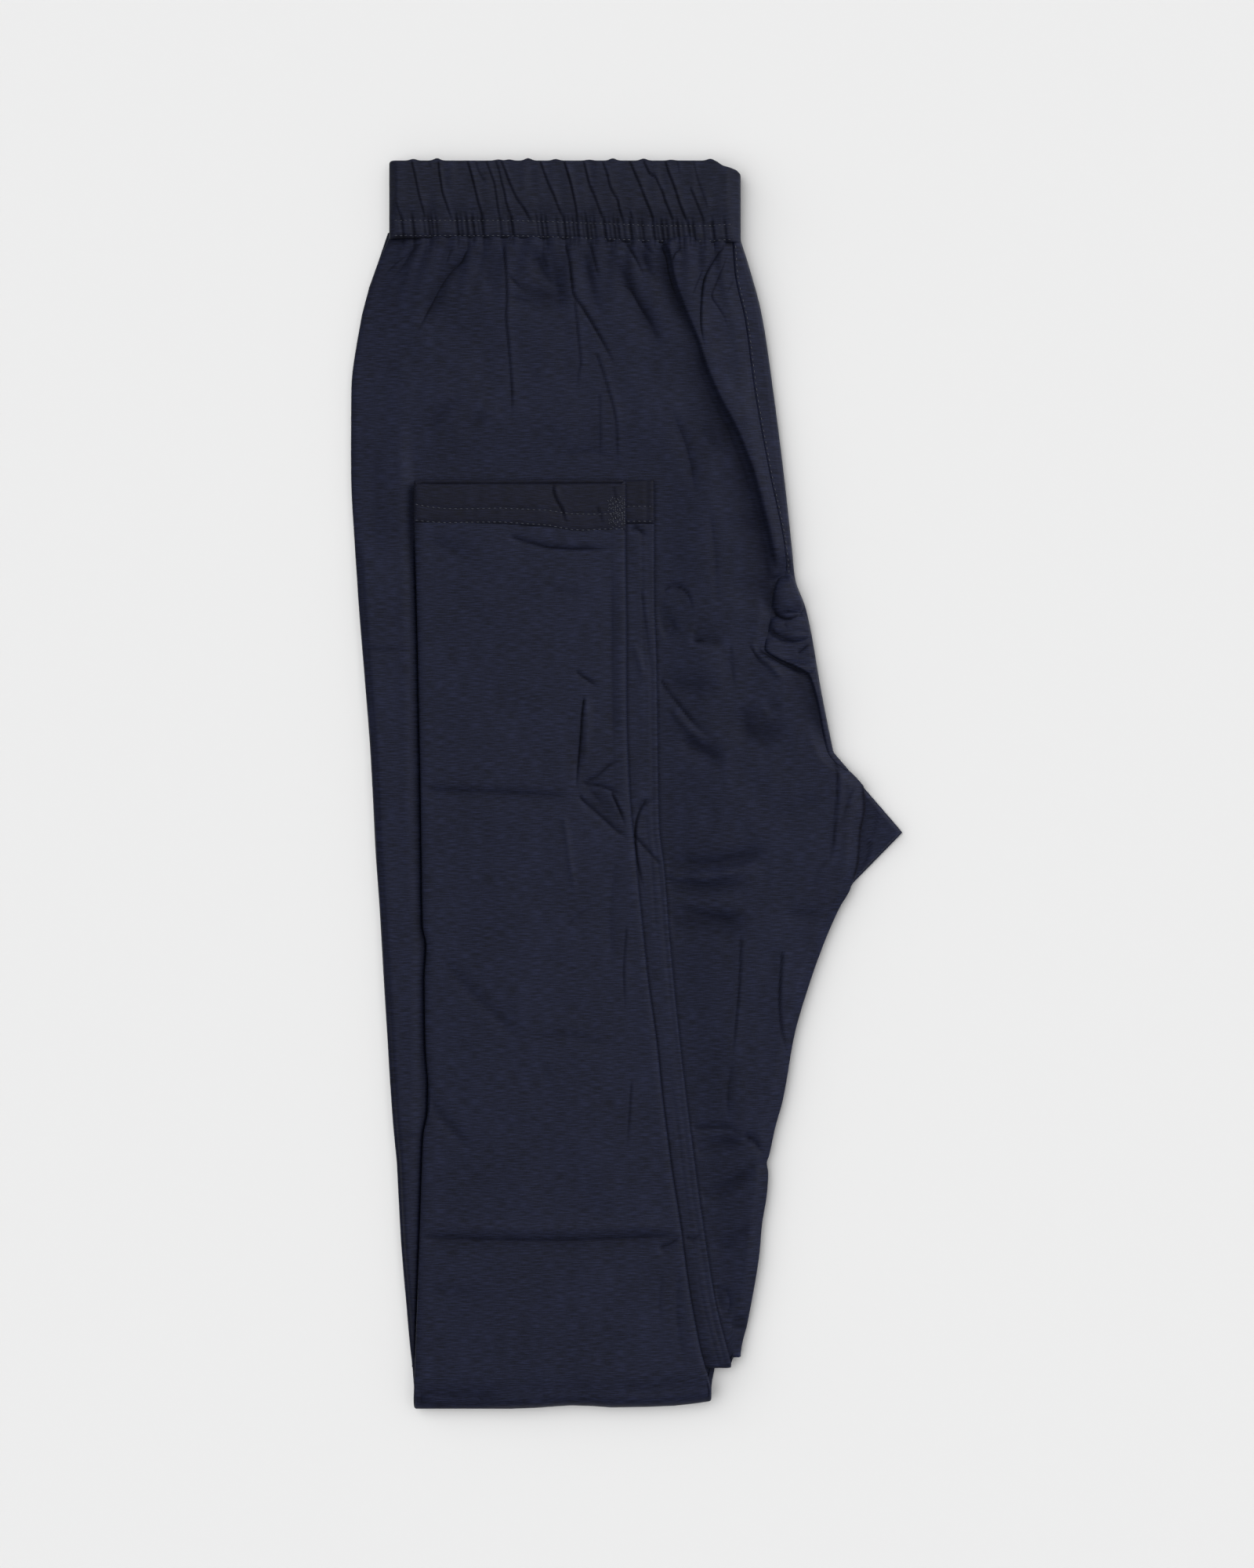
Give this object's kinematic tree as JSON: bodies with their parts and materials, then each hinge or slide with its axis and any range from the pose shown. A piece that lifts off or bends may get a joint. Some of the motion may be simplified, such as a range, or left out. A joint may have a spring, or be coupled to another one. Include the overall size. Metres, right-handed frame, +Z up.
{
  "type": "folded leggings",
  "caption": "Navy slim leggings folded flat: leg on leg, legs turned up at the knee, gathered elastic waist casing, open hemmed cuffs.",
  "frame": {"origin": "on the surface the bundle lies on, under the middle of its outline", "axes": "+Z up from that surface, +Y towards the waist, +X towards the crotch"},
  "size_m": [0.2432, 0.5499, 0.012],
  "materials": {
    "leg_cloth": "matt navy stretch cloth with a fine crosswise slub",
    "inner_cloth": "matt navy cloth, the layers inside the fold",
    "hem_cloth": "matt navy cloth, turned and twin stitched",
    "casing_cloth": "matt navy cloth gathered over elastic, twin stitched"
  },
  "bodies": {
    "root": {"leg_left": "leg_cloth", "leg_right": "leg_cloth", "front_edge": "leg_cloth", "hidden_layers": "inner_cloth", "hem_left": "hem_cloth", "hem_right": "hem_cloth", "waistband": "casing_cloth"}
  },
  "joints": []
}
